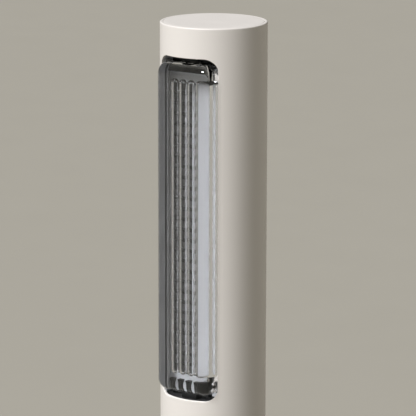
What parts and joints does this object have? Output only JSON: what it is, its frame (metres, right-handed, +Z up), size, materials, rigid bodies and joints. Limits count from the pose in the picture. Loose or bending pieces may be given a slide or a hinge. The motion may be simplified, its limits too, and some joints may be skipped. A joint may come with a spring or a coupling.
{
  "type": "air purifier",
  "caption": "Slim round tower air purifier with a fluted clear glass block set in a tall slot; rear filter cassette, fan and button move.",
  "frame": {"origin": "centre of the foot pad's underside, on the floor", "axes": "+Z up the tower, -Y out of the front with the glass, +Y out of the back with the filter panel, +X to the right seen from the front"},
  "size_m": [0.12, 0.1234, 0.66],
  "materials": {
    "shell_paint": "matte warm off-white paint",
    "clear_glass": "clear, polished, moulded",
    "black_plastic": "matte black",
    "grey_plastic": "matte dark grey",
    "white_plastic": "matte white",
    "rubber": "matte black",
    "steel": "satin zinc",
    "aluminium": "mill finish",
    "filter_paper": "matte, pleated",
    "carbon": "matte black, granular",
    "mesh_fabric": "dark nylon mesh",
    "circuit_board": "green solder mask",
    "lead_jacket": "matte black"
  },
  "bodies": {
    "housing": {"outer_tube": "shell_paint", "top_cap": "shell_paint", "glass_block": "clear_glass", "outlet_frame": "white_plastic", "outlet_louvre": "black_plastic", "glass_comb_lower": "black_plastic", "glass_bar_upper": "black_plastic", "base_plate": "black_plastic", "upper_bulkhead": "black_plastic", "fan_deck": "black_plastic", "fan_shroud": "black_plastic", "motor_mount": "black_plastic", "filter_bay": "black_plastic", "button_holder": "black_plastic", "tact_switch": "black_plastic", "dc_inlet": "black_plastic", "glass_ledge_left": "grey_plastic", "glass_ledge_right": "white_plastic", "foot_pad": "rubber", "glass_cradle_lower": "rubber", "glass_cradle_upper": "rubber", "glass_seal_left": "rubber", "glass_seal_right": "rubber", "duct_divider": "grey_plastic", "ballast_disc": "steel", "base_screw_left": "steel", "base_screw_right": "steel", "top_screw_left": "steel", "top_screw_right": "steel", "motor_screw_1": "steel", "motor_screw_2": "steel", "motor_screw_3": "steel", "motor_can": "steel", "bearing_lower": "steel", "bearing_upper": "steel", "bay_magnet_left": "steel", "bay_magnet_right": "steel", "side_rail_left": "aluminium", "side_rail_right": "aluminium", "driver_board": "circuit_board", "control_board": "circuit_board", "power_lead": "lead_jacket", "motor_lead": "lead_jacket", "control_lead": "lead_jacket"},
    "impeller": {"impeller": "grey_plastic", "motor_shaft": "steel", "impeller_nut": "steel"},
    "power_button": {"power_button": "shell_paint"},
    "filter_cassette": {"rear_grille": "shell_paint", "cassette_frame": "white_plastic", "cassette_seal": "rubber", "carbon_filter": "carbon", "hepa_filter": "filter_paper", "prefilter_mesh": "mesh_fabric", "keeper_left": "steel", "keeper_right": "steel"}
  },
  "joints": [
    {"name": "impeller_spin", "type": "hinge", "parent": "housing", "child": "impeller", "pos_m": [0, 0, 0.2], "axis": [0, 0, 1], "continuous": true},
    {"name": "button_press", "type": "slide", "parent": "housing", "child": "power_button", "axis": [0, -1, 0], "range_m": [0, 0.0012], "stiffness_N_per_m": 1200, "springref_m": -0.0004},
    {"name": "cassette_slide", "type": "slide", "parent": "housing", "child": "filter_cassette", "axis": [0, 1, 0], "range_m": [0, 0.07]}
  ]
}
